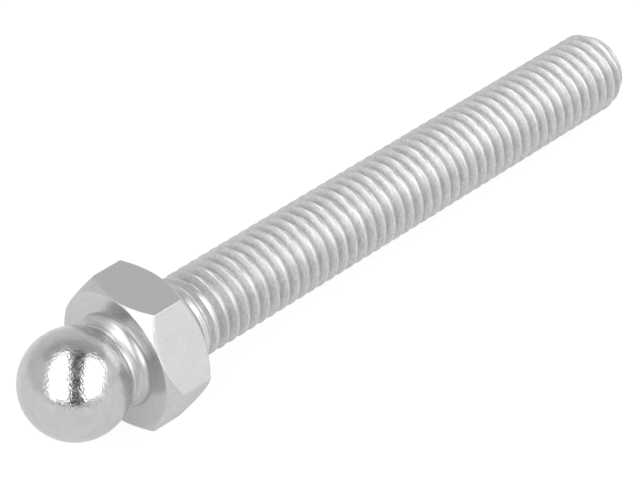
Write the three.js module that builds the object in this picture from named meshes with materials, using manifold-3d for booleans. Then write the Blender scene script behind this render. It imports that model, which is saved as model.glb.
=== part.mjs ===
// Ball-ended levelling stud: a turned stud with a ball, a short neck, a rim, a plain seat and a rolled
// M8 thread, and a hexagon collar slid over the thread onto the seat and fixed there against the rim.
//
// Frame: millimetres, origin at the centre of the ball, +X along the stud towards its threaded end,
// +Z up. The stud lies level, with one flat of the hexagon facing straight up and one straight down.

import * as THREE from 'three';
import { mergeVertices } from 'three/addons/utils/BufferGeometryUtils.js';
import Module from 'manifold-3d';

// ---------------------------------------------------------------------------------------------
// Driving dimensions, in millimetres and degrees
// ---------------------------------------------------------------------------------------------

const BALL_RADIUS = 5.0;

const NECK_RADIUS = 3.8;             // where the neck meets the ball: a hollow, which a rounded rim follows
const NECK_HOLLOW_RADIUS = 0.9;
const NECK_HOLLOW_START = 12;        // slopes of the hollow from the axis, at the ball and at the rim
const NECK_HOLLOW_END = 45;
const RIM_RADIUS = 4.475;

const COLLAR_ACROSS_FLATS = 13.0;
const COLLAR_FRONT = 4.6;               // face of the hexagon that bears on the rim
const COLLAR_WIDTH = 5.1;
const COLLAR_FRONT_FACE_RADIUS = 6.45;  // edge of the flat ring on each face, where the chamfer starts
const COLLAR_BACK_FACE_RADIUS = 6.4;
const COLLAR_FRONT_CHAMFER = 46;        // angles from the plane of the face
const COLLAR_BACK_CHAMFER = 40;
const COLLAR_BORE_RADIUS = 4.1;
const BORE_CHAMFER = 0.2;               // at both mouths of the bore
const SEAT_RADIUS = 3.8;                // the stud's plain part inside the collar
const RIM_GAP = 0.05;                   // film of brazing metal between rim and collar

const THREAD_PITCH = 1.25;
const THREAD_CREST_RADIUS = 3.93;
const THREAD_ROOT_RADIUS = 3.23;
const THREAD_CREST_WIDTH = 0.22;
const THREAD_ROOT_WIDTH = 0.22;
const THREAD_CREST_AT_Y = 0.1;       // x of one crest where it crosses the +Y side, plus whole pitches
const THREAD_INSIDE_COLLAR = 1;      // length of rod made inside the collar, to be trimmed to a step
const RUN_OUT_START = 10.2;          // the groove starts from nothing here
const RUN_OUT_END = 13.6;            // and has its full depth from here on

const STUD_END = 69.05;
const END_CHAMFER_LENGTH = 1.35;
const END_FACE_RADIUS = 3.15;

const BALL_ARC_STEPS = 14;
const NECK_ARC_STEPS = 3;            // in the hollow, and again in the rim
const ROUND_SIDES = 48;              // sides of a turned surface
const THREAD_SIDES = 16;             // steps in one turn of the thread
const MERGE_DISTANCE = 1e-5;         // vertices closer than this are one vertex
const CUT_CLEARANCE = 0.02;          // how far a cutting body stands clear of a surface it must not touch

const COLLAR_BACK = COLLAR_FRONT + COLLAR_WIDTH;

// ---------------------------------------------------------------------------------------------
// Helpers
// ---------------------------------------------------------------------------------------------

const wasm = await Module();
wasm.setup();

// Three.js turns profiles about its Y axis; this puts that axis along X, the direction of the stud.
const Y_TO_X = new THREE.Matrix4().set(
  0, 1, 0, 0,
  0, 0, 1, 0,
  1, 0, 0, 0,
  0, 0, 0, 1,
);

function toSolid(geometry) {
  const bare = geometry.clone();
  bare.deleteAttribute('normal');
  bare.deleteAttribute('uv');
  const merged = mergeVertices(bare, MERGE_DISTANCE);
  const mesh = new wasm.Mesh({
    numProp: 3,
    vertProperties: new Float32Array(merged.attributes.position.array),
    triVerts: new Uint32Array(merged.index.array),
  });
  return new wasm.Manifold(mesh);
}

function toGeometry(solid) {
  const mesh = solid.getMesh();
  const geometry = new THREE.BufferGeometry();
  geometry.setAttribute('position', new THREE.BufferAttribute(mesh.vertProperties, 3));
  geometry.setIndex(new THREE.BufferAttribute(mesh.triVerts, 1));
  geometry.computeVertexNormals();
  return geometry;
}

// A solid turned about the X axis. The profile is a list of [x, radius], starting and ending on the axis.
function turned(profile, sides = ROUND_SIDES) {
  const points = profile.map(([x, radius]) => new THREE.Vector2(radius, x));
  return toSolid(new THREE.LatheGeometry(points, sides).applyMatrix4(Y_TO_X));
}

function slope(degrees) {
  return Math.tan(THREE.MathUtils.degToRad(degrees));
}

// ---------------------------------------------------------------------------------------------
// Ball stud
// ---------------------------------------------------------------------------------------------

// Corners of an arc from one point to another, leaving the first at a given slope, as [x, radius].
function arcBetween([startX, startRadius], [endX, endRadius], startSlope, steps) {
  const chord = Math.hypot(endX - startX, endRadius - startRadius);
  const turn = startSlope - Math.atan2(endRadius - startRadius, endX - startX);
  const radius = chord / (2 * Math.sin(turn));
  const corners = [];
  for (let step = 1; step <= steps; step++) {
    const angle = startSlope - 2 * turn * (step / steps);
    corners.push([
      startX + radius * (Math.sin(startSlope) - Math.sin(angle)),
      startRadius + radius * (Math.cos(angle) - Math.cos(startSlope)),
    ]);
  }
  return corners;
}

// The neck's outline behind the ball: a hollow, then the rounded rim.
function neckOutline() {
  const start = THREE.MathUtils.degToRad(NECK_HOLLOW_START);
  const end = THREE.MathUtils.degToRad(NECK_HOLLOW_END);
  const hollowStart = [Math.sqrt(BALL_RADIUS ** 2 - NECK_RADIUS ** 2), NECK_RADIUS];
  const hollowEnd = [
    hollowStart[0] + NECK_HOLLOW_RADIUS * (Math.sin(end) - Math.sin(start)),
    hollowStart[1] + NECK_HOLLOW_RADIUS * (Math.cos(start) - Math.cos(end)),
  ];
  const rimBack = [COLLAR_FRONT - RIM_GAP, RIM_RADIUS];
  return [
    ...arcBetween(hollowStart, hollowEnd, start, NECK_ARC_STEPS),
    ...arcBetween(hollowEnd, rimBack, end, NECK_ARC_STEPS),
  ];
}

// Ball, neck, rim and the plain seat that the collar sits on.
function turnedHead() {
  const neckAngle = Math.asin(NECK_RADIUS / BALL_RADIUS);
  const profile = [[-BALL_RADIUS, 0]];
  for (let step = 1; step <= BALL_ARC_STEPS; step++) {
    const angle = Math.PI - (Math.PI - neckAngle) * (step / BALL_ARC_STEPS);
    profile.push([BALL_RADIUS * Math.cos(angle), BALL_RADIUS * Math.sin(angle)]);
  }
  profile.push(
    ...neckOutline(),
    [COLLAR_FRONT - RIM_GAP, SEAT_RADIUS],
    [COLLAR_BACK, SEAT_RADIUS],
    [COLLAR_BACK, 0],
  );
  return turned(profile);
}

// How much of the groove's depth is missing at x, in millimetres: all of it where the run-out starts.
function runOutLift(x) {
  const share = (RUN_OUT_END - x) / (RUN_OUT_END - RUN_OUT_START);
  return (THREAD_CREST_RADIUS - THREAD_ROOT_RADIUS) * THREE.MathUtils.clamp(share, 0, 1);
}

// One pitch of the thread's outline: how far along the pitch each corner lies, and its radius.
function threadOutline() {
  const halfCrest = THREAD_CREST_WIDTH / 2;
  const halfRoot = THREAD_ROOT_WIDTH / 2;
  return [
    { along: -halfCrest, radius: THREAD_CREST_RADIUS },
    { along: halfCrest, radius: THREAD_CREST_RADIUS },
    { along: THREAD_PITCH / 2 - halfRoot, radius: THREAD_ROOT_RADIUS },
    { along: THREAD_PITCH / 2 + halfRoot, radius: THREAD_ROOT_RADIUS },
  ];
}

// A right-hand threaded rod. Its surface is a grid that follows the helix: the last corner of one pitch
// joins the first corner of the pitch one turn later, and a fan of triangles closes each end.
function threadedRod(startX, endX) {
  const outline = threadOutline();
  const corners = outline.length;
  const firstTurn = Math.floor((startX - THREAD_CREST_AT_Y) / THREAD_PITCH) - 1;
  const turns = Math.ceil((endX - startX) / THREAD_PITCH) + 2;
  const steps = turns * THREAD_SIDES;
  const positions = [];
  const triangles = [];
  const vertexAt = (corner, step) => (corner < corners
    ? step * corners + corner
    : (step + THREAD_SIDES) * corners);

  for (let step = 0; step <= steps + THREAD_SIDES; step++) {
    const turn = step / THREAD_SIDES;
    const angle = 2 * Math.PI * turn;
    for (const { along, radius } of outline) {
      const x = THREAD_CREST_AT_Y + THREAD_PITCH * (firstTurn + turn) + along;
      const lifted = Math.min(radius + runOutLift(x), THREAD_CREST_RADIUS);
      positions.push(x, lifted * Math.cos(angle), lifted * Math.sin(angle));
    }
  }
  for (let step = 0; step < steps; step++) {
    for (let corner = 0; corner < corners; corner++) {
      const near = vertexAt(corner, step);
      const far = vertexAt(corner + 1, step);
      const nearTurned = vertexAt(corner, step + 1);
      const farTurned = vertexAt(corner + 1, step + 1);
      triangles.push(near, farTurned, far, near, nearTurned, farTurned);
    }
  }
  closeEnd(0, false);
  closeEnd(steps, true);

  function closeEnd(step, facesForward) {
    const centre = positions.length / 3;
    const middleX = THREAD_CREST_AT_Y + THREAD_PITCH * (firstTurn + step / THREAD_SIDES + 0.5);
    positions.push(middleX, 0, 0);
    const loop = [];
    for (let side = 0; side <= THREAD_SIDES; side++) loop.push(vertexAt(0, step + side));
    for (let corner = corners - 1; corner > 0; corner--) loop.push(vertexAt(corner, step));
    loop.forEach((vertex, index) => {
      const next = loop[(index + 1) % loop.length];
      if (facesForward) triangles.push(centre, vertex, next);
      else triangles.push(centre, next, vertex);
    });
  }

  const geometry = new THREE.BufferGeometry();
  geometry.setAttribute('position', new THREE.Float32BufferAttribute(positions, 3));
  geometry.setIndex(triangles);
  return toSolid(geometry);
}

// The thread's outer limits: a small step down to the seat inside the collar, and a chamfer at the free end.
function threadEnvelope() {
  const outside = THREAD_CREST_RADIUS + CUT_CLEARANCE;
  const step = outside - SEAT_RADIUS;
  const start = COLLAR_BACK - 2 * step;
  return turned([
    [start, 0],
    [start, SEAT_RADIUS],
    [start + step, outside],
    [STUD_END - END_CHAMFER_LENGTH, outside],
    [STUD_END, END_FACE_RADIUS],
    [STUD_END, 0],
  ]);
}

function ballStud() {
  const rod = threadedRod(COLLAR_BACK - THREAD_INSIDE_COLLAR, STUD_END);
  const thread = rod.intersect(threadEnvelope());
  return turnedHead().add(thread);
}

// ---------------------------------------------------------------------------------------------
// Hexagon collar
// ---------------------------------------------------------------------------------------------

function hexagonPrism() {
  const cornerRadius = COLLAR_ACROSS_FLATS / Math.sqrt(3);
  const geometry = new THREE.CylinderGeometry(cornerRadius, cornerRadius, COLLAR_WIDTH, 6);
  geometry.applyMatrix4(Y_TO_X);
  geometry.translate(COLLAR_FRONT + COLLAR_WIDTH / 2, 0, 0);
  return toSolid(geometry);
}

// A turned body that takes the corners of the hexagon off at both faces.
function cornerChamfers() {
  const clear = 1.5;
  return turned([
    [COLLAR_FRONT, 0],
    [COLLAR_FRONT, COLLAR_FRONT_FACE_RADIUS],
    [COLLAR_FRONT + clear * slope(COLLAR_FRONT_CHAMFER), COLLAR_FRONT_FACE_RADIUS + clear],
    [COLLAR_BACK - clear * slope(COLLAR_BACK_CHAMFER), COLLAR_BACK_FACE_RADIUS + clear],
    [COLLAR_BACK, COLLAR_BACK_FACE_RADIUS],
    [COLLAR_BACK, 0],
  ]);
}

function collarBore() {
  const past = 0.5;
  const mouth = COLLAR_BORE_RADIUS + BORE_CHAMFER;
  return turned([
    [COLLAR_FRONT - past, 0],
    [COLLAR_FRONT - past, mouth],
    [COLLAR_FRONT, mouth],
    [COLLAR_FRONT + BORE_CHAMFER, COLLAR_BORE_RADIUS],
    [COLLAR_BACK - BORE_CHAMFER, COLLAR_BORE_RADIUS],
    [COLLAR_BACK, mouth],
    [COLLAR_BACK + past, mouth],
    [COLLAR_BACK + past, 0],
  ]);
}

function hexCollar() {
  return hexagonPrism().intersect(cornerChamfers()).subtract(collarBore());
}

// ---------------------------------------------------------------------------------------------
// Assembly
// ---------------------------------------------------------------------------------------------

const polishedZinc = new THREE.MeshStandardMaterial({ color: 0xc8cacc, roughness: 0.25, metalness: 1 });
const satinZinc = new THREE.MeshStandardMaterial({ color: 0xbcbec0, roughness: 0.45, metalness: 1 });

function named(name, solid, material) {
  const mesh = new THREE.Mesh(toGeometry(solid), material);
  mesh.name = name;
  return mesh;
}

const levellingStud = new THREE.Group();
levellingStud.add(
  named('ball_stud', ballStud(), polishedZinc),
  named('hex_collar', hexCollar(), satinZinc),
);

export default levellingStud;
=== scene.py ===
"""Looks of a ball-ended levelling stud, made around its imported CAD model.

The frame is the model's own, in metres: origin at the centre of the ball, +X along the stud towards its
threaded end, +Z square to one flat of the hexagon. The stud lies on the floor on two points, the hexagon's
rear edge and the last crest of the thread, so the floor is tilted a little in this frame.
"""

import math

import bmesh
import bpy
import numpy as np
from mathutils import Matrix, Vector


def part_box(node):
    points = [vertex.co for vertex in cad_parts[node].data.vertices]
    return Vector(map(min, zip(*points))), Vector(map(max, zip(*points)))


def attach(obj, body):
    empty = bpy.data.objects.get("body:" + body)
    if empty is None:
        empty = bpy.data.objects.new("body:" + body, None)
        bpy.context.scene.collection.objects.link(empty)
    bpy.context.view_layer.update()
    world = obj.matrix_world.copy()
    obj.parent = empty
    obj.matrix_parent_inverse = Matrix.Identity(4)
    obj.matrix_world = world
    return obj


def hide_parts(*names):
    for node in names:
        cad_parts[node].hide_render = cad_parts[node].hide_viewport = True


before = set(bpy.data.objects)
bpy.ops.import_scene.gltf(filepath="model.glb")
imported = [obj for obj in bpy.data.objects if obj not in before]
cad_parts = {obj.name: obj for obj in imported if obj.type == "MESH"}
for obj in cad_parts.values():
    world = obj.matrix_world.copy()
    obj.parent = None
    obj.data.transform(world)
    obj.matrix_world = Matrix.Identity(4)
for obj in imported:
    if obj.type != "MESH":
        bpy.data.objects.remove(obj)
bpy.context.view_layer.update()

MM = 0.001

# ---------------------------------------------------------------------------------------------
# Dimensions: overall sizes from the frame, details as named values in metres
# ---------------------------------------------------------------------------------------------

stud_low, stud_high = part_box("ball_stud")
collar_low, collar_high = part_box("hex_collar")

BALL_RADIUS = -stud_low.x
STUD_END = stud_high.x - 0.0001 * MM
COLLAR_FRONT = collar_low.x
COLLAR_BACK = collar_high.x
HALF_FLATS = collar_high.z

NECK_RADIUS = 3.8 * MM
NECK_HOLLOW_RADIUS = 0.9 * MM
NECK_HOLLOW_START = math.radians(12)
NECK_HOLLOW_END = math.radians(45)
NECK_LINE_SLOPE = math.radians(28)   # slope of the hollow where a shallow turned line crosses it
NECK_LINE_WIDTH = 0.26 * MM
NECK_LINE_DEPTH = 0.055 * MM
RIM_BACK_EDGE = 0.01 * MM
RIM_RADIUS = 4.475 * MM
RIM_GAP = 0.003 * MM
SEAT_RADIUS = 4.08 * MM              # the plain seat and the joint that fills the collar's bore around it
SEAT_END = COLLAR_BACK - 0.2 * MM

FRONT_FACE_RADIUS = 6.45 * MM
BACK_FACE_RADIUS = 6.4 * MM
FRONT_CHAMFER_SLOPE = math.tan(math.radians(46))
BACK_CHAMFER_SLOPE = math.tan(math.radians(40))
BORE_RADIUS = 4.1 * MM
BORE_CHAMFER = 0.2 * MM
CORNER_ROUNDING = 0.1 * MM
EDGE_ROUNDING = 0.04 * MM

PITCH = 1.25 * MM
CREST_RADIUS = 3.93 * MM
ROOT_RADIUS = 3.23 * MM
CREST_HALF_WIDTH = 0.09 * MM
FLANK_SLOPE = math.sqrt(3)           # radius lost per length along the axis on a 60 degree thread
CREST_AT_Y = 0.1 * MM
RUN_OUT_START = 10.2 * MM
RUN_OUT_END = 13.6 * MM
END_CHAMFER_LENGTH = 1.35 * MM
END_FACE_RADIUS = 3.15 * MM

ROOT_ROUNDING = 0.09 * MM
CREST_ROUNDING = 0.018 * MM
CREST_DROP = 0.03 * MM               # the run-out's crests stand this much lower than the others
SEAM_HALF_WIDTH = 0.032 * MM         # seam that rolling leaves along the middle of the crests
SEAM_DEPTH = 0.032 * MM

# ---------------------------------------------------------------------------------------------
# Directions of the floor and of the camera
# ---------------------------------------------------------------------------------------------

LAST_CREST = STUD_END - END_CHAMFER_LENGTH
rear_edge = Vector((COLLAR_BACK - 0.08 * MM, 0, -HALF_FLATS))
last_crest = Vector((LAST_CREST, 0, -CREST_RADIUS))
lie = (last_crest - rear_edge).normalized()
FLOOR_UP = Vector((-lie.z, 0, lie.x))

CAMERA_HEADING = math.radians(-47.452)   # 0 looks along +Y, 90 along -X
CAMERA_ELEVATION = math.radians(37.902)
CAMERA_ROLL = math.radians(2.4545)
CAMERA_TARGET = Vector((30.98, 0.93, -1.66)) * MM
CAMERA_DISTANCE = 280 * MM
CAMERA_LENS = 172.45
CAMERA_SENSOR = 36


def camera_axes():
    """Right, up and forward directions of the camera."""
    cos_a, sin_a = math.cos(CAMERA_HEADING), math.sin(CAMERA_HEADING)
    cos_e, sin_e = math.cos(CAMERA_ELEVATION), math.sin(CAMERA_ELEVATION)
    forward = Vector((-sin_a * cos_e, cos_a * cos_e, -sin_e))
    level_right = Vector((cos_a, sin_a, 0))
    level_up = level_right.cross(forward)
    right = level_right * math.cos(CAMERA_ROLL) + level_up * math.sin(CAMERA_ROLL)
    return right, right.cross(forward), forward


def add_camera():
    right, up, forward = camera_axes()
    data = bpy.data.cameras.new("camera")
    data.lens = CAMERA_LENS
    data.sensor_width = CAMERA_SENSOR
    data.clip_start = 10 * MM
    data.clip_end = 10
    camera = bpy.data.objects.new("camera", data)
    place = CAMERA_TARGET - forward * CAMERA_DISTANCE
    turn = Matrix((right, up, -forward)).transposed().to_4x4()
    camera.matrix_world = Matrix.Translation(place) @ turn
    bpy.context.scene.collection.objects.link(camera)
    bpy.context.scene.camera = camera


# ---------------------------------------------------------------------------------------------
# Mesh helpers
# ---------------------------------------------------------------------------------------------

def add_mesh(name, points, faces, materials=(), face_materials=None, sharp_angle=28):
    """A smooth-shaded mesh object whose edges turn sharp where its faces meet at more than sharp_angle."""
    mesh = bpy.data.meshes.new(name)
    corners = [[int(corner) for corner in face] for face in faces]
    mesh.from_pydata(np.asarray(points).tolist(), [], corners)
    for material in materials:
        mesh.materials.append(material)
    if face_materials is not None:
        mesh.polygons.foreach_set("material_index", np.asarray(face_materials, np.int32))
    mesh.polygons.foreach_set("use_smooth", np.ones(len(mesh.polygons), bool))
    mesh.validate()
    mesh.set_sharp_from_angle(angle=math.radians(sharp_angle))
    thing = bpy.data.objects.new(name, mesh)
    bpy.context.scene.collection.objects.link(thing)
    return thing


def merge_close(thing, distance=1e-7):
    """Joins vertices that lie in one place and drops the faces that this leaves with no area."""
    work = bmesh.new()
    work.from_mesh(thing.data)
    bmesh.ops.remove_doubles(work, verts=work.verts, dist=distance)
    bmesh.ops.dissolve_degenerate(work, edges=work.edges, dist=distance)
    work.to_mesh(thing.data)
    work.free()


def arc(centre_x, centre_r, radius, start, end, steps):
    """Points of an arc as (x, r); an angle of 0 points along +X and a quarter turn points outwards."""
    angles = np.linspace(start, end, steps + 1)
    return np.stack([centre_x + radius * np.cos(angles), centre_r + radius * np.sin(angles)], axis=1)


def turned(name, profile, segments, materials, face_material):
    """A solid turned about X. The profile's first and last points lie on the axis."""
    profile = np.asarray(profile)
    inner = profile[1:-1]
    angles = np.linspace(0, 2 * math.pi, segments, endpoint=False)
    x = np.repeat(inner[:, 0], segments)
    r = np.repeat(inner[:, 1], segments)
    a = np.tile(angles, len(inner))
    points = np.stack([x, r * np.cos(a), r * np.sin(a)], axis=1)
    points = np.vstack([points, [profile[0, 0], 0, 0], [profile[-1, 0], 0, 0]])
    tip, tail = len(points) - 2, len(points) - 1
    faces, kinds = [], []
    for row in range(len(inner) - 1):
        kind = face_material(*(inner[row] + inner[row + 1]) / 2)
        for side in range(segments):
            after = (side + 1) % segments
            low, high = row * segments, (row + 1) * segments
            faces.append([low + side, high + side, high + after, low + after])
            kinds.append(kind)
    last = (len(inner) - 1) * segments
    for side in range(segments):
        after = (side + 1) % segments
        faces.append([tip, side, after])
        kinds.append(face_material(*inner[0]))
        faces.append([tail, last + after, last + side])
        kinds.append(face_material(*inner[-1]))
    outward = [face[::-1] for face in faces]
    return add_mesh(name, points, outward, materials, kinds)


def finish_piece(piece, node):
    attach(piece, "root")
    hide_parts(node)
    return piece


# ---------------------------------------------------------------------------------------------
# Material helpers
# ---------------------------------------------------------------------------------------------

class Nodes:
    """Short calls for building one material's node tree."""

    def __init__(self, name):
        self.material = bpy.data.materials.new(name)
        self.material.use_nodes = True
        self.tree = self.material.node_tree
        self.shader = self.tree.nodes["Principled BSDF"]
        self.places = self.tree.nodes.new("ShaderNodeTexCoord").outputs["Object"]

    def link(self, source, target):
        self.tree.links.new(source, target)

    def node(self, kind, **settings):
        made = self.tree.nodes.new(kind)
        for key, value in settings.items():
            setattr(made, key, value)
        return made

    def math(self, operation, first, second=0.0):
        made = self.node("ShaderNodeMath", operation=operation)
        for socket, value in zip(made.inputs, (first, second)):
            if isinstance(value, (int, float)):
                socket.default_value = value
            else:
                self.link(value, socket)
        return made.outputs[0]

    def stretched(self, scale, turn=(0, 0, 0)):
        """Object coordinates turned and then scaled, in cells per millimetre along each axis."""
        turned_places = self.node("ShaderNodeMapping", vector_type="POINT")
        turned_places.inputs["Rotation"].default_value = [math.radians(t) for t in turn]
        self.link(self.places, turned_places.inputs["Vector"])
        made = self.node("ShaderNodeVectorMath", operation="MULTIPLY")
        self.link(turned_places.outputs["Vector"], made.inputs[0])
        made.inputs[1].default_value = [s / MM for s in scale]
        return made.outputs["Vector"]

    def noise(self, scale, detail=2.0, roughness=0.5, turn=(0, 0, 0), distortion=0.0):
        made = self.node("ShaderNodeTexNoise", noise_dimensions="3D")
        made.inputs["Scale"].default_value = 1.0
        made.inputs["Detail"].default_value = detail
        made.inputs["Roughness"].default_value = roughness
        made.inputs["Distortion"].default_value = distortion
        self.link(self.stretched(scale, turn), made.inputs["Vector"])
        return made.outputs["Fac"]

    def radius(self):
        """Distance from the stud's axis, in metres."""
        flat = self.node("ShaderNodeVectorMath", operation="MULTIPLY")
        self.link(self.places, flat.inputs[0])
        flat.inputs[1].default_value = (0, 1, 1)
        size = self.node("ShaderNodeVectorMath", operation="LENGTH")
        self.link(flat.outputs["Vector"], size.inputs[0])
        return size.outputs["Value"]

    def rings(self, per_mm, detail=3.0):
        """Noise that changes only with the distance from the axis: concentric turning marks."""
        made = self.node("ShaderNodeTexNoise", noise_dimensions="1D")
        made.inputs["Scale"].default_value = 1.0
        made.inputs["Detail"].default_value = detail
        self.link(self.math("MULTIPLY", self.radius(), per_mm / MM), made.inputs["W"])
        return made.outputs["Fac"]

    def ramp(self, value, low, high, out_low, out_high):
        made = self.node("ShaderNodeMapRange", clamp=True)
        self.link(value, made.inputs["Value"])
        made.inputs["From Min"].default_value = low
        made.inputs["From Max"].default_value = high
        made.inputs["To Min"].default_value = out_low
        made.inputs["To Max"].default_value = out_high
        return made.outputs["Result"]

    def tint(self, value, dark, light, low=0.3, high=0.7):
        made = self.node("ShaderNodeValToRGB")
        made.color_ramp.elements[0].position = low
        made.color_ramp.elements[0].color = (*dark, 1)
        made.color_ramp.elements[1].position = high
        made.color_ramp.elements[1].color = (*light, 1)
        self.link(value, made.inputs["Fac"])
        self.link(made.outputs["Color"], self.shader.inputs["Base Color"])

    def bump(self, height, depth_um, after=None):
        """Raises the surface by up to depth_um micrometres; after is a bump to add to."""
        made = self.node("ShaderNodeBump")
        made.inputs["Strength"].default_value = 1.0
        made.inputs["Distance"].default_value = depth_um * 1e-6
        self.link(height, made.inputs["Height"])
        if after is not None:
            self.link(after, made.inputs["Normal"])
        return made.outputs["Normal"]

    def finish(self, normal, roughness):
        self.shader.inputs["Metallic"].default_value = 1.0
        self.link(normal, self.shader.inputs["Normal"])
        self.link(roughness, self.shader.inputs["Roughness"])
        return self.material


def polished_ball():
    """Bright plate on a turned and tumbled ball: fine marks along its circles of latitude, and specks."""
    m = Nodes("polished_zinc")
    marks = m.noise((5.0, 0.7, 0.7), detail=2)
    crossing = m.noise((1.0, 5.0, 1.0), detail=2, turn=(0, 0, 40))
    specks = m.noise((5.5, 5.0, 5.0), detail=1, roughness=0.6)
    normal = m.bump(marks, 18)
    normal = m.bump(crossing, 18, normal)
    normal = m.bump(specks, 18, normal)
    m.tint(m.noise((1.4, 0.9, 0.9), detail=3), (0.53, 0.533, 0.536), (0.59, 0.592, 0.594))
    return m.finish(normal, m.ramp(m.noise((2, 2, 2), detail=4), 0.3, 0.7, 0.15, 0.27))


def turned_neck():
    """Satin plate over the turning marks of the neck and the rim."""
    m = Nodes("turned_zinc")
    marks = m.noise((7.0, 0.25, 0.25), detail=3)
    normal = m.bump(marks, 10)
    m.tint(m.noise((8.0, 0.5, 0.5), detail=3), (0.48, 0.483, 0.486), (0.61, 0.612, 0.614), 0.38, 0.62)
    return m.finish(normal, m.ramp(m.noise((3, 3, 3)), 0.3, 0.7, 0.36, 0.43))


def turned_chamfer():
    """Satin plate on the collar's chamfers and the thread's end face, turned finer than the neck."""
    m = Nodes("chamfer_zinc")
    normal = m.bump(m.noise((7.0, 0.8, 0.8), detail=2), 3)
    m.tint(m.noise((4.0, 1.5, 1.5), detail=3), (0.55, 0.552, 0.555), (0.60, 0.602, 0.604))
    return m.finish(normal, m.ramp(m.noise((3, 3, 3)), 0.3, 0.7, 0.40, 0.46))


def faced_collar():
    """Turned faces of the collar: concentric marks that spread reflections outwards."""
    m = Nodes("faced_zinc")
    normal = m.bump(m.rings(7.0), 4)
    normal = m.bump(m.noise((5, 5, 5), detail=3), 1.5, normal)
    tangent = m.node("ShaderNodeTangent", direction_type="RADIAL", axis="X")
    m.link(tangent.outputs["Tangent"], m.shader.inputs["Tangent"])
    m.shader.inputs["Anisotropic"].default_value = 0.7
    m.shader.inputs["Anisotropic Rotation"].default_value = 0.25
    m.tint(m.rings(7.0, detail=4), (0.555, 0.557, 0.561), (0.62, 0.622, 0.624))
    return m.finish(normal, m.ramp(m.rings(1.5), 0.3, 0.7, 0.2, 0.26))


def drawn_flats():
    """Satin plate on the drawn flats of the hexagon, with a fine grain along the bar."""
    m = Nodes("satin_zinc")
    grain = m.noise((3.0, 7.0, 7.0), detail=3)
    mottle = m.noise((4.0, 4.0, 4.0), detail=3)
    normal = m.bump(grain, 3.0)
    normal = m.bump(mottle, 2.5, normal)
    m.tint(m.noise((4.0, 6.0, 6.0), detail=4, roughness=0.75), (0.53, 0.534, 0.538), (0.64, 0.642, 0.644))
    return m.finish(normal, m.ramp(m.noise((0.8, 0.8, 0.8)), 0.3, 0.7, 0.38, 0.46))


def rolled_thread():
    """Matt plate on the rolled thread, streaked along the helix, burnished at the crests, with a trace of
    the plate's blue and straw; painted shade darkens the base colour in the roots and lightens it towards
    the crests."""
    m = Nodes("rolled_zinc")
    streaks = m.noise((7.0, 1.4, 1.4), detail=4, roughness=0.7)
    grain = m.noise((5.0, 6.0, 6.0), detail=4, roughness=0.75)
    normal = m.bump(streaks, 5)
    normal = m.bump(grain, 3, normal)
    mixed = m.math("MULTIPLY", m.math("ADD", streaks, grain), 0.5)
    # painted shade: by distance from the axis, the base colour is darkened in the roots and lightened
    # towards the crests
    shade = m.ramp(m.radius(), 3.25 * MM, 3.7 * MM, -0.075, 0.035)
    m.tint(m.math("ADD", mixed, shade), (0.44, 0.45, 0.465), (0.75, 0.748, 0.738), 0.3, 0.67)
    burnish = m.ramp(m.radius(), 3.88 * MM, 3.92 * MM, 0.47, 0.3)
    return m.finish(normal, burnish)


# ---------------------------------------------------------------------------------------------
# Stud: ball, neck and rim
# ---------------------------------------------------------------------------------------------

def arc_between(start, end, start_slope, steps):
    """Points after start of an arc that leaves it at start_slope from the axis and reaches end."""
    (start_x, start_r), (end_x, end_r) = start, end
    turn = start_slope - math.atan2(end_r - start_r, end_x - start_x)
    radius = math.hypot(end_x - start_x, end_r - start_r) / (2 * math.sin(turn))
    slopes = start_slope - 2 * turn * np.linspace(0, 1, steps + 1)[1:]
    x = start_x + radius * (math.sin(start_slope) - np.sin(slopes))
    r = start_r + radius * (np.cos(slopes) - math.cos(start_slope))
    return np.stack([x, r], axis=1)


def hollow_arc(start, start_slope, end_slope, steps):
    """Points after start of the neck's hollow, which steepens from start_slope to end_slope."""
    slopes = np.linspace(start_slope, end_slope, steps + 1)[1:]
    x = start[0] + NECK_HOLLOW_RADIUS * (np.sin(slopes) - math.sin(start_slope))
    r = start[1] + NECK_HOLLOW_RADIUS * (math.cos(start_slope) - np.cos(slopes))
    return np.stack([x, r], axis=1)


def turned_line(start, slope, steps):
    """Points after start of a shallow, softly rounded line cut into a surface of this slope."""
    share = np.linspace(0, 1, steps + 1)[1:]
    dip = NECK_LINE_DEPTH * (1 - np.cos(2 * math.pi * share)) / 2
    x = start[0] + NECK_LINE_WIDTH * share * math.cos(slope) + dip * math.sin(slope)
    r = start[1] + NECK_LINE_WIDTH * share * math.sin(slope) - dip * math.cos(slope)
    return np.stack([x, r], axis=1)


def head_profile():
    """Outline from the tip of the ball to the plain seat inside the collar, as (x, r)."""
    neck_angle = math.asin(NECK_RADIUS / BALL_RADIUS)
    ball = arc(0, 0, BALL_RADIUS, math.pi, neck_angle, 110)
    ball[0] = (-BALL_RADIUS, 0)
    rim_back = COLLAR_FRONT - RIM_GAP
    near_hollow = hollow_arc(ball[-1], NECK_HOLLOW_START, NECK_LINE_SLOPE, 7)
    line = turned_line(near_hollow[-1], NECK_LINE_SLOPE, 16)
    far_hollow = hollow_arc(line[-1], NECK_LINE_SLOPE, NECK_HOLLOW_END, 7)
    rim = arc_between(far_hollow[-1], (rim_back - RIM_BACK_EDGE, RIM_RADIUS), NECK_HOLLOW_END, 16)
    rest = [
        (rim_back, RIM_RADIUS - RIM_BACK_EDGE),
        (rim_back, SEAT_RADIUS),
        (SEAT_END, SEAT_RADIUS),
        (SEAT_END, 0),
    ]
    return np.vstack([ball, near_hollow, line, far_hollow, rim, rest])


def stud_head(ball_material, neck_material):
    neck_start = math.sqrt(BALL_RADIUS ** 2 - NECK_RADIUS ** 2)
    return turned("stud_head", head_profile(), 192, [ball_material, neck_material],
                  lambda x, r: int(x > neck_start))


# ---------------------------------------------------------------------------------------------
# Stud: thread
# ---------------------------------------------------------------------------------------------

THREAD_SIDES = 96                    # steps to a turn


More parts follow.
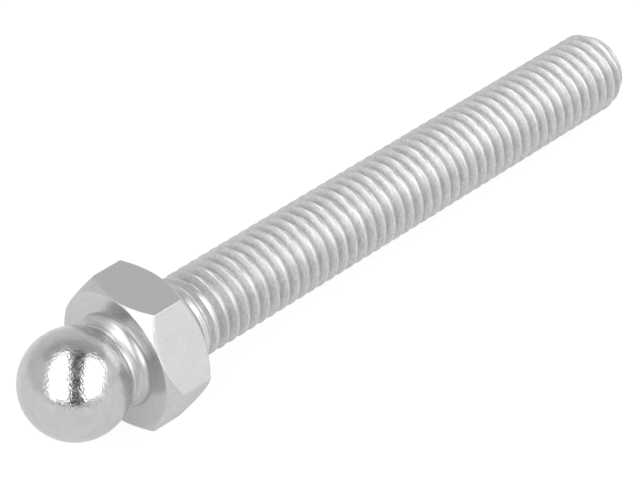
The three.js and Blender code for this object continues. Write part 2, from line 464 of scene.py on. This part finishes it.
def pitch_places():
    """Where the grid's lines lie along one pitch, from half a pitch before the crest."""
    crest = [0, 0.012, 0.024, 0.037, 0.05, 0.065, 0.08, 0.095, 0.115]
    flank_and_root = [0.2, 0.33, 0.43, 0.49, 0.54, 0.585]
    half = np.array(crest + flank_and_root)
    return np.concatenate([[-PITCH / 2], -half[:0:-1] * MM, half * MM])


def soft_min(a, b, width):
    """The smaller of a and b, with the corner between them rounded off over width."""
    mix = np.clip(0.5 + (b - a) / (2 * width), 0, 1)
    return b + (a - b) * mix - width * mix * (1 - mix)


def thread_radius(along, x, angle):
    """Radius of the thread's surface: along is the distance from the nearest crest line."""
    flank = CREST_RADIUS - (np.abs(along) - CREST_HALF_WIDTH) * FLANK_SLOPE
    groove = -soft_min(-flank, np.full_like(flank, -ROOT_RADIUS), ROOT_ROUNDING)
    depth = CREST_RADIUS - ROOT_RADIUS
    filled = np.clip((RUN_OUT_END - x) / (RUN_OUT_END - RUN_OUT_START), 0, 1)
    unfinished = np.clip(filled * 3, 0, 1)
    crest = CREST_RADIUS - CREST_DROP * unfinished
    r = soft_min(groove + depth * filled, crest, CREST_ROUNDING)
    seam = np.exp(-(along / SEAM_HALF_WIDTH) ** 2)
    waver = np.sin(3 * angle + 0.4) * np.sin(0.37 * angle + 1.1)
    r = r - SEAM_DEPTH * (1 + 0.5 * waver) * seam * (1 - unfinished)
    chamfer = END_FACE_RADIUS + (STUD_END - x) / END_CHAMFER_LENGTH * (CREST_RADIUS - END_FACE_RADIUS)
    return np.minimum(r, chamfer)


def stud_thread(material, end_material):
    """A grid that follows the helix, flattened to a disc where it runs past either end."""
    places = pitch_places()
    lines = len(places)
    start = COLLAR_BACK - 0.6 * MM
    collapse = 0.6 * MM
    first_turn = math.floor((start - collapse - CREST_AT_Y) / PITCH) - 1
    turns = math.ceil((STUD_END - start + 2 * collapse) / PITCH) + 3
    steps = turns * THREAD_SIDES
    turn = np.arange(steps + THREAD_SIDES + 1)[:, None] / THREAD_SIDES
    angle = 2 * math.pi * turn * np.ones((1, lines))
    along = np.ones_like(turn) * places[None, :]
    x = CREST_AT_Y + PITCH * (first_turn + turn) + along
    r = thread_radius(along, x, angle)
    snap = 0.04 * MM
    past_end = np.clip((x - STUD_END + snap) / collapse, 0, 1)
    past_start = np.clip((start + snap - x) / collapse, 0, 1)
    end_face = np.minimum(r, END_FACE_RADIUS)
    end_face = np.where(x > STUD_END + snap, end_face * (1 - past_end), end_face)
    r = np.where(x > STUD_END - snap, end_face, r)
    r = np.where(x < start + snap, r * (1 - past_start), r)
    x = np.clip(x, start, STUD_END)
    x = np.where(x > STUD_END - snap, STUD_END, x)
    x = np.where(x < start + snap, start, x)
    points = np.stack([x, r * np.cos(angle), r * np.sin(angle)], axis=2).reshape(-1, 3)

    step, line = np.meshgrid(np.arange(steps), np.arange(lines), indexing="ij")
    near = step * lines + line
    far = np.where(line + 1 < lines, near + 1, (step + THREAD_SIDES) * lines)
    near_turned = near + lines
    far_turned = np.where(line + 1 < lines, near_turned + 1, (step + 1 + THREAD_SIDES) * lines)
    faces = np.stack([near, near_turned, far_turned, far], axis=2).reshape(-1, 4)
    at_end = np.all(points[faces][:, :, 0] > STUD_END - 1e-6, axis=1)
    thread = add_mesh("stud_thread", points, faces, [material, end_material], at_end.astype(int), 35)
    merge_close(thread)
    thread.data.set_sharp_from_angle(angle=math.radians(35))
    return thread


# ---------------------------------------------------------------------------------------------
# Collar
# ---------------------------------------------------------------------------------------------

def hexagon_outline():
    """The rounded hexagon as (angle, radius), counted from +Y towards +Z, with a corner on +Y."""
    corner_radius = HALF_FLATS / math.cos(math.pi / 6)
    centre = corner_radius - CORNER_ROUNDING / math.cos(math.pi / 6)
    outline = []
    for corner in range(6):
        middle = corner * math.pi / 3
        for turn in np.radians(np.linspace(-30, 30, 7)):
            outline.append((centre * math.cos(middle) + CORNER_ROUNDING * math.cos(middle + turn),
                            centre * math.sin(middle) + CORNER_ROUNDING * math.sin(middle + turn)))
        start = np.array(outline[-1])
        after = middle + math.pi / 3
        end = np.array((centre * math.cos(after) + CORNER_ROUNDING * math.cos(after - math.pi / 6),
                        centre * math.sin(after) + CORNER_ROUNDING * math.sin(after - math.pi / 6)))
        for share in (0.02, *np.linspace(0.07, 0.93, 21), 0.98):
            outline.append(tuple(start + (end - start) * share))
    outline = np.array(outline)
    return np.arctan2(outline[:, 1], outline[:, 0]), np.hypot(outline[:, 0], outline[:, 1])


FLAT, FACE, CHAMFER = 0, 1, 2        # the collar's finishes


def collar_rows(radius):
    """Rows of (x, r, finish) around the collar's section, where the hexagon has this radius."""
    front_x = COLLAR_FRONT + (radius - FRONT_FACE_RADIUS) * FRONT_CHAMFER_SLOPE
    back_x = COLLAR_BACK - (radius - BACK_FACE_RADIUS) * BACK_CHAMFER_SLOPE
    soft = EDGE_ROUNDING
    mouth = BORE_RADIUS + BORE_CHAMFER
    rows = [(COLLAR_FRONT + BORE_CHAMFER, BORE_RADIUS, FACE), (COLLAR_FRONT, mouth, FACE)]
    rows += [(COLLAR_FRONT, mouth + 0.03 * MM, FACE)]
    rows += [(COLLAR_FRONT, r, FACE) for r in np.linspace(4.5, 6.3, 10) * MM]
    rows += [(COLLAR_FRONT, FRONT_FACE_RADIUS - soft, FACE)]
    rows += [(COLLAR_FRONT + 0.3 * soft, FRONT_FACE_RADIUS, FACE)]
    reach = radius - FRONT_FACE_RADIUS
    inner = min(soft, 0.3 * reach)
    for share in (0.0, 0.33, 0.67, 1.0):
        r = FRONT_FACE_RADIUS + inner + (reach - 2 * inner) * share
        rows.append((COLLAR_FRONT + (r - FRONT_FACE_RADIUS) * FRONT_CHAMFER_SLOPE, r, CHAMFER))
    rows.append((front_x + 0.25 * soft, radius - 0.25 * soft, FLAT))
    walls = np.linspace(0, 1, 9)
    wall_start, wall_end = front_x + 1.2 * soft, back_x - 1.2 * soft
    rows += [(wall_start, radius, FLAT), (wall_start + soft, radius, FLAT)]
    rows += [(wall_start + (wall_end - wall_start) * w, radius, FLAT) for w in walls[1:-1]]
    rows += [(wall_end - soft, radius, FLAT), (wall_end, radius, FLAT)]
    rows.append((back_x - 0.25 * soft, radius - 0.25 * soft, CHAMFER))
    reach = radius - BACK_FACE_RADIUS
    inner = min(soft, 0.3 * reach)
    for share in (1.0, 0.67, 0.33, 0.0):
        r = BACK_FACE_RADIUS + inner + (reach - 2 * inner) * share
        rows.append((COLLAR_BACK - (r - BACK_FACE_RADIUS) * BACK_CHAMFER_SLOPE, r, CHAMFER))
    rows += [(COLLAR_BACK - 0.3 * soft, BACK_FACE_RADIUS, FACE)]
    rows += [(COLLAR_BACK, BACK_FACE_RADIUS - soft, FACE)]
    rows += [(COLLAR_BACK, r, FACE) for r in np.linspace(6.25, 4.5, 10) * MM]
    rows += [(COLLAR_BACK, mouth + 0.03 * MM, FACE), (COLLAR_BACK, mouth, FACE)]
    rows += [(COLLAR_BACK - BORE_CHAMFER, BORE_RADIUS, FACE)]
    rows += [(COLLAR_FRONT + 0.7 * (COLLAR_BACK - COLLAR_FRONT), BORE_RADIUS, FACE)]
    rows += [(COLLAR_FRONT + 0.3 * (COLLAR_BACK - COLLAR_FRONT), BORE_RADIUS, FACE)]
    return rows


def hex_collar(flat_material, face_material, chamfer_material):
    angles, radii = hexagon_outline()
    columns = [collar_rows(radius) for radius in radii]
    rows, sides = len(columns[0]), len(columns)
    points, kinds = [], []
    for row in range(rows):
        for side in range(sides):
            x, r, _ = columns[side][row]
            points.append((x, r * math.cos(angles[side]), r * math.sin(angles[side])))
    faces = []
    for row in range(rows):
        for side in range(sides):
            low, high = row * sides, ((row + 1) % rows) * sides
            after = (side + 1) % sides
            faces.append((low + side, low + after, high + after, high + side))
            kinds.append(columns[side][row][2])
    materials = [flat_material, face_material, chamfer_material]
    return add_mesh("hexagon_collar", points, faces, materials, kinds, 30)


# ---------------------------------------------------------------------------------------------
# Stage: floor, light panels, world
# ---------------------------------------------------------------------------------------------

def emission(name, strength, color=(1, 1, 1)):
    material = bpy.data.materials.new(name)
    material.use_nodes = True
    tree = material.node_tree
    tree.nodes.clear()
    glow = tree.nodes.new("ShaderNodeEmission")
    glow.inputs["Color"].default_value = (*color, 1)
    glow.inputs["Strength"].default_value = strength
    out = tree.nodes.new("ShaderNodeOutputMaterial")
    tree.links.new(glow.outputs["Emission"], out.inputs["Surface"])
    return material


def stage_axes():
    """Level direction from the stud towards the camera, level direction to the camera's right, and up."""
    _, _, forward = camera_axes()
    near = -(forward - FLOOR_UP * forward.dot(FLOOR_UP)).normalized()
    return near, near.cross(FLOOR_UP) * -1, FLOOR_UP


def through_three(values, share):
    """Smooth curve through three values: at share 0, a half and 1."""
    first, middle, last = values
    return (first * (1 - share) * (1 - 2 * share) + middle * 4 * share * (1 - share)
            + last * share * (2 * share - 1))


def arch_panel(name, distance, swing, left, right, strength):
    """A glowing piece of a vault over the stud. Swing is its reach in degrees about the level axis that runs
    across the view, 0 on the camera's side and 90 overhead. Left and right are its side edges, in degrees as
    seen from the ball, at the start, middle and end of the swing. The camera doesn't see it, only
    reflections do."""
    near, across, up = stage_axes()
    rows, columns = 13, 5
    points = []
    for share in np.linspace(0, 1, rows):
        angle = math.radians(swing[0] + (swing[1] - swing[0]) * share)
        spoke = near * math.cos(angle) + up * math.sin(angle)
        edges = [math.tan(math.radians(through_three(side, share))) for side in (left, right)]
        for offset in np.linspace(*edges, columns):
            points.append(tuple((spoke + across * offset) * distance))
    faces = []
    for row in range(rows - 1):
        for column in range(columns - 1):
            first = row * columns + column
            faces.append((first, first + 1, first + 1 + columns, first + columns))
    panel = add_mesh(name, points, faces, [emission(name, strength)])
    panel.visible_camera = False


def table_material(name, albedo, glow):
    material = bpy.data.materials.new(name)
    material.use_nodes = True
    shader = material.node_tree.nodes["Principled BSDF"]
    shader.inputs["Base Color"].default_value = (albedo, albedo, albedo, 1)
    shader.inputs["Roughness"].default_value = 0.9
    shader.inputs["Specular IOR Level"].default_value = 0.0
    shader.inputs["Emission Color"].default_value = (1, 1, 1, 1)
    shader.inputs["Emission Strength"].default_value = glow
    return material


def add_floor(name, depth, albedo, glow):
    """A plain pale table, tilted in this frame so that the stud touches it at its two resting points."""
    half = 1.5
    count = 11
    places = np.linspace(-half, half, count)
    base = rear_edge - FLOOR_UP * depth
    points = [tuple(base + lie * u + Vector((0, v, 0))) for u in places for v in places]
    faces = []
    for i in range(count - 1):
        for j in range(count - 1):
            first = i * count + j
            faces.append((first, first + count, first + count + 1, first + 1))
    floor = add_mesh(name, points, faces, [table_material(name, albedo, glow)])
    return floor


def add_floors():
    """The table that the camera sees is almost shadowless, like a lit sweep. The one that the metal reflects
    is at the same place and carries the stud's real shadow."""
    seen = add_floor("floor", 0.02 * MM, 0.13, 0.9)
    seen.visible_glossy = False
    seen.visible_diffuse = False
    seen.visible_shadow = False
    reflected = add_floor("reflected_floor", 0.03 * MM, 0.4, 0.45)
    reflected.visible_camera = False


def set_world(left, right):
    """A surround that brightens evenly from the camera's left to its right."""
    _, across, _ = stage_axes()
    world = bpy.data.worlds.new("world")
    world.use_nodes = True
    nodes, links = world.node_tree.nodes, world.node_tree.links
    place = nodes.new("ShaderNodeTexCoord")
    side = nodes.new("ShaderNodeVectorMath")
    side.operation = "DOT_PRODUCT"
    side.inputs[1].default_value = across
    links.new(place.outputs["Generated"], side.inputs[0])
    level = nodes.new("ShaderNodeMapRange")
    level.inputs["From Min"].default_value = -1
    level.inputs["To Min"].default_value = left
    level.inputs["To Max"].default_value = right
    links.new(side.outputs["Value"], level.inputs["Value"])
    links.new(level.outputs["Result"], nodes["Background"].inputs["Strength"])
    nodes["Background"].inputs["Color"].default_value = (1, 1, 1, 1)
    bpy.context.scene.world = world


def add_lights():
    set_world(0.76, 0.88)
    arch_panel("softbox_left", 0.45, (6, 106), (-42, -48, -28), (-7, -7, -7), 2.8)
    arch_panel("softbox_right", 0.45, (8, 104), (20, 20, 23), (52, 60, 55), 2.8)
    arch_panel("gap_card", 0.47, (0, 112), (-9, -9, -12), (22, 22, 27), 0.08)
    arch_panel("gap_foot", 0.44, (-2, 13), (-5, -6, -5), (16, 18, 16), 0.0)
    arch_panel("sill", 0.3, (-1.5, 5), (-50, -50, -50), (50, 50, 50), 0.0)
    arch_panel("back_card", 0.46, (108, 140), (-50, -50, -50), (50, 50, 50), 0.5)


# ---------------------------------------------------------------------------------------------
# Assembly
# ---------------------------------------------------------------------------------------------

add_camera()
add_floors()
add_lights()
bpy.context.scene.view_settings.view_transform = "Standard"
bpy.context.scene.view_settings.look = "None"

chamfer_finish = turned_chamfer()
finish_piece(stud_head(polished_ball(), turned_neck()), "ball_stud")
finish_piece(stud_thread(rolled_thread(), chamfer_finish), "ball_stud")
finish_piece(hex_collar(drawn_flats(), faced_collar(), chamfer_finish), "hex_collar")
